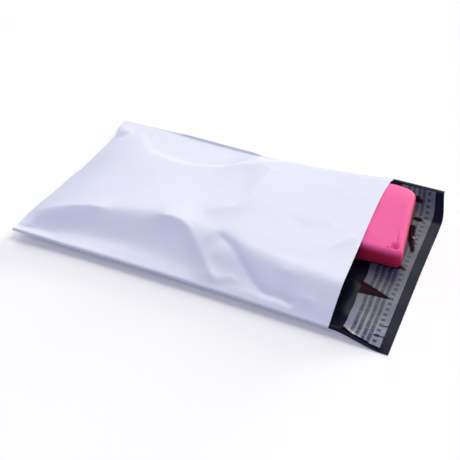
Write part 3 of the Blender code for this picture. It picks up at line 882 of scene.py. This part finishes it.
def jersey_material():
    """Fine knitted jersey: wales and courses under half a millimetre apart, with a soft bloom, and
    painted shade on its sides.
    """
    made, nodes, links, shader = new_material("pink_jersey")
    shader.inputs["Roughness"].default_value = 0.72
    shader.inputs["Sheen Weight"].default_value = 0.10
    shader.inputs["Sheen Roughness"].default_value = 0.4
    shader.inputs["Sheen Tint"].default_value = (1.0, 0.55, 0.75, 1)
    place = nodes.new("ShaderNodeTexCoord")
    wales = nodes.new("ShaderNodeTexWave")
    wales.bands_direction = "Y"
    wales.inputs["Scale"].default_value = 620
    wales.inputs["Distortion"].default_value = 1.5
    courses = nodes.new("ShaderNodeTexWave")
    courses.bands_direction = "X"
    courses.inputs["Scale"].default_value = 820
    courses.inputs["Distortion"].default_value = 1.5
    knit = nodes.new("ShaderNodeMath")
    knit.operation = "MULTIPLY"
    dye = nodes.new("ShaderNodeTexNoise")
    dye.inputs["Scale"].default_value = 45
    dye.inputs["Detail"].default_value = 4
    shade = nodes.new("ShaderNodeMix")
    shade.data_type = "RGBA"
    shade.inputs["A"].default_value = JERSEY_PINK
    shade.inputs["B"].default_value = JERSEY_ROSE
    raised = nodes.new("ShaderNodeBump")
    raised.inputs["Strength"].default_value = 0.25
    raised.inputs["Distance"].default_value = 0.0004
    for texture in (wales, courses, dye):
        links.new(place.outputs["Object"], texture.inputs["Vector"])
    links.new(wales.outputs["Fac"], knit.inputs[0])
    links.new(courses.outputs["Fac"], knit.inputs[1])
    links.new(dye.outputs["Fac"], shade.inputs["Factor"])
    # Painted shade: the sides are blended towards a deeper red.
    side = nodes.new("ShaderNodeAttribute")
    side.attribute_name = "painted_side_shade"
    painted_side_darkening = nodes.new("ShaderNodeMix")
    painted_side_darkening.data_type = "RGBA"
    painted_side_darkening.inputs["B"].default_value = JERSEY_PAINTED_SHADE
    links.new(side.outputs["Fac"], painted_side_darkening.inputs["Factor"])
    links.new(shade.outputs["Result"], painted_side_darkening.inputs["A"])
    links.new(painted_side_darkening.outputs["Result"], shader.inputs["Base Color"])
    links.new(knit.outputs[0], raised.inputs["Height"])
    links.new(raised.outputs["Normal"], shader.inputs["Normal"])
    return made


garment = add_piece("garment", make_garment(), (jersey_material(),))
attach(garment, "root")
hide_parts("folded_garment")

# The studio
# A white table under the bag, soft lamps behind it from low to high, weaker ones to its left and in
# front of it, blue light from all round, and the camera.
FLOOR_DROP = 0.0002
FLOOR_GLOW = 0.092
AMBIENT = (0.10, 0.115, 0.36, 1)

# Each lamp's name, its azimuth, elevation and spread in degrees, and its strength.
LAMPS = (
    ("low_back", 14, 11, 20, 2.25),
    ("softbox", -25, 42, 40, 1.05),
    ("high", 45, 60, 26, 1.08),
    ("left", -90, 35, 40, 0.22),
    ("front", 195, 58, 40, 0.46),
)
LAMP_WARMTH = (1.0, 0.985, 0.76)

bpy.ops.mesh.primitive_plane_add(size=8, location=(0, 0, -FLOOR_DROP))
floor = bpy.context.object
floor.name = "floor"
floor_white, floor_nodes, floor_links, floor_shader = new_material("floor_white")
floor_shader.inputs["Base Color"].default_value = (0.98, 0.965, 0.93, 1)
floor_shader.inputs["Roughness"].default_value = 1.0
floor_shader.inputs["Specular IOR Level"].default_value = 0.0
floor_shader.inputs["Emission Color"].default_value = (1, 1, 1, 1)
floor_rays = floor_nodes.new("ShaderNodeLightPath")
floor_glow = floor_nodes.new("ShaderNodeMath")
floor_glow.operation = "MULTIPLY"
floor_glow.inputs[1].default_value = FLOOR_GLOW
floor_links.new(floor_rays.outputs["Is Camera Ray"], floor_glow.inputs[0])
floor_links.new(floor_glow.outputs[0], floor_shader.inputs["Emission Strength"])
floor.data.materials.append(floor_white)

world = bpy.data.worlds.new("studio")
world.use_nodes = True
bpy.context.scene.world = world
sky_nodes, sky_links = world.node_tree.nodes, world.node_tree.links
sky = sky_nodes["Background"]
sky_rays = sky_nodes.new("ShaderNodeLightPath")
tone = sky_nodes.new("ShaderNodeMix")
tone.data_type = "RGBA"
tone.inputs["A"].default_value = AMBIENT
tone.inputs["B"].default_value = (1, 1, 1, 1)
sky_links.new(sky_rays.outputs["Is Camera Ray"], tone.inputs["Factor"])
sky_links.new(tone.outputs["Result"], sky.inputs["Color"])


def direction(azimuth, elevation):
    """Unit vector towards a place in degrees: azimuth 0 is behind the bag, 90 beyond its mouth."""
    a, e = math.radians(azimuth), math.radians(elevation)
    return Vector((math.sin(a) * math.cos(e), math.cos(a) * math.cos(e), math.sin(e)))


for name, azimuth, elevation, spread, strength in LAMPS:
    lamp = bpy.data.lights.new(name, "SUN")
    lamp.angle = math.radians(spread)
    lamp.energy = strength
    lamp.color = LAMP_WARMTH
    holder = bpy.data.objects.new(name, lamp)
    holder.rotation_euler = direction(azimuth, elevation).to_track_quat("Z", "Y").to_euler()
    bpy.context.scene.collection.objects.link(holder)

AZIMUTH = math.radians(23.70)
ELEVATION = math.radians(40.28)
DISTANCE = 0.911
SENSOR_WIDTH = 36
FOCAL_SHARE = 1.820
AIM = Vector((0.2080, 0.1068, 0.0)) + FOLD_CORNER
towards = Vector((
    math.sin(AZIMUTH) * math.cos(ELEVATION),
    -math.cos(AZIMUTH) * math.cos(ELEVATION),
    math.sin(ELEVATION),
))
lens = bpy.data.cameras.new("camera")
lens.sensor_width = SENSOR_WIDTH
lens.lens = SENSOR_WIDTH * FOCAL_SHARE
camera = bpy.data.objects.new("camera", lens)
bpy.context.scene.collection.objects.link(camera)
camera.location = AIM + towards * DISTANCE
camera.rotation_euler = towards.to_track_quat("Z", "Y").to_euler()
bpy.context.scene.camera = camera
bpy.context.scene.view_settings.view_transform = "Standard"
